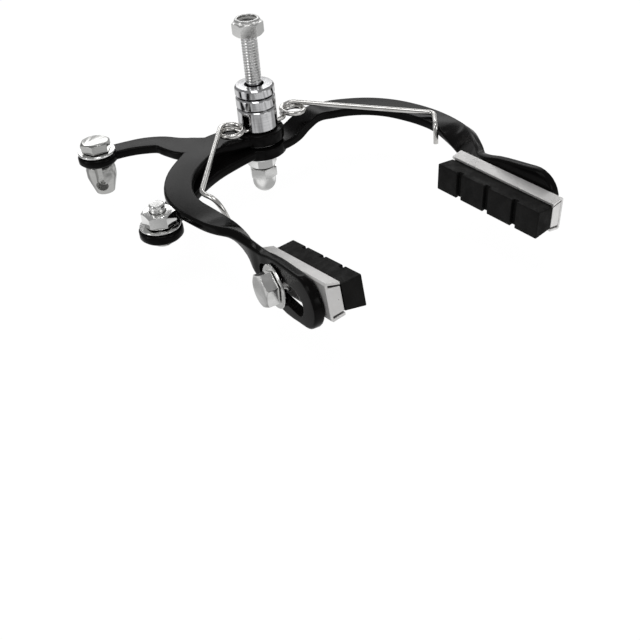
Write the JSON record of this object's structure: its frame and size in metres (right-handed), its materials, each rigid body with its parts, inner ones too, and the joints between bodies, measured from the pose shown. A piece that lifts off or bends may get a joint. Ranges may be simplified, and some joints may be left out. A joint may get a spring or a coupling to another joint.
{
  "type": "caliper brake",
  "caption": "Single-pivot side-pull rim brake: two curved pressed arms on one stud, a wire return spring and slotted plates with rubber pads.",
  "frame": {"origin": "pivot axis at the face of the crown ring that meets the fork crown", "axes": "+Z along the mounting stud towards its lock nut, -Y towards the pads, the two cable ends on the -X side"},
  "size_m": [0.1285, 0.15, 0.0693],
  "materials": {
    "gloss_black_paint": "glossy black enamel",
    "pad_rubber": "matt moulded rubber",
    "chrome_plate": "bright plated",
    "zinc_plate": "bright plated, fine grain",
    "spring_wire": "plated round wire",
    "plain_steel": "plain steel",
    "nylon": "plain nylon"
  },
  "bodies": {
    "stud": {"pivot_stud": "chrome_plate", "crown_ring": "chrome_plate", "radius_ring": "chrome_plate", "lock_nut": "zinc_plate", "nylon_ring": "nylon", "pivot_bush": "plain_steel", "between_washer": "plain_steel", "front_washer": "zinc_plate", "jam_nut": "zinc_plate", "acorn_nut": "zinc_plate", "return_spring": "spring_wire"},
    "near_arm": {"near_arm": "gloss_black_paint", "stop_washer": "zinc_plate", "near_pad_holder": "zinc_plate", "near_pad_rubber": "pad_rubber", "near_pad_washer": "zinc_plate", "near_pad_bolt": "zinc_plate"},
    "far_arm": {"far_arm": "gloss_black_paint", "far_pad_holder": "zinc_plate", "far_pad_rubber": "pad_rubber", "far_pad_washer": "zinc_plate", "far_pad_bolt": "zinc_plate", "anchor_bolt": "zinc_plate", "anchor_washer": "zinc_plate", "anchor_nut": "zinc_plate"},
    "housing_stop": {"housing_stop": "zinc_plate", "stop_bolt": "zinc_plate"}
  },
  "joints": [
    {"name": "near_arm_pivot", "type": "hinge", "parent": "stud", "child": "near_arm", "pos_m": [0, 0, -0.02], "axis": [0, 0, 1], "range_deg": [0, 18], "stiffness_Nm_per_rad": 1.5, "deforming": ["return_spring"]},
    {"name": "far_arm_pivot", "type": "hinge", "parent": "stud", "child": "far_arm", "pos_m": [0, 0, -0.025], "axis": [0, 0, -1], "range_deg": [0, 12.5], "stiffness_Nm_per_rad": 1.5, "deforming": ["return_spring"]},
    {"name": "stop_swivel", "type": "hinge", "parent": "near_arm", "child": "housing_stop", "pos_m": [-0.0557, 0.027, -0.02], "axis": [0, 0, 1], "range_deg": [-20, 20]}
  ]
}
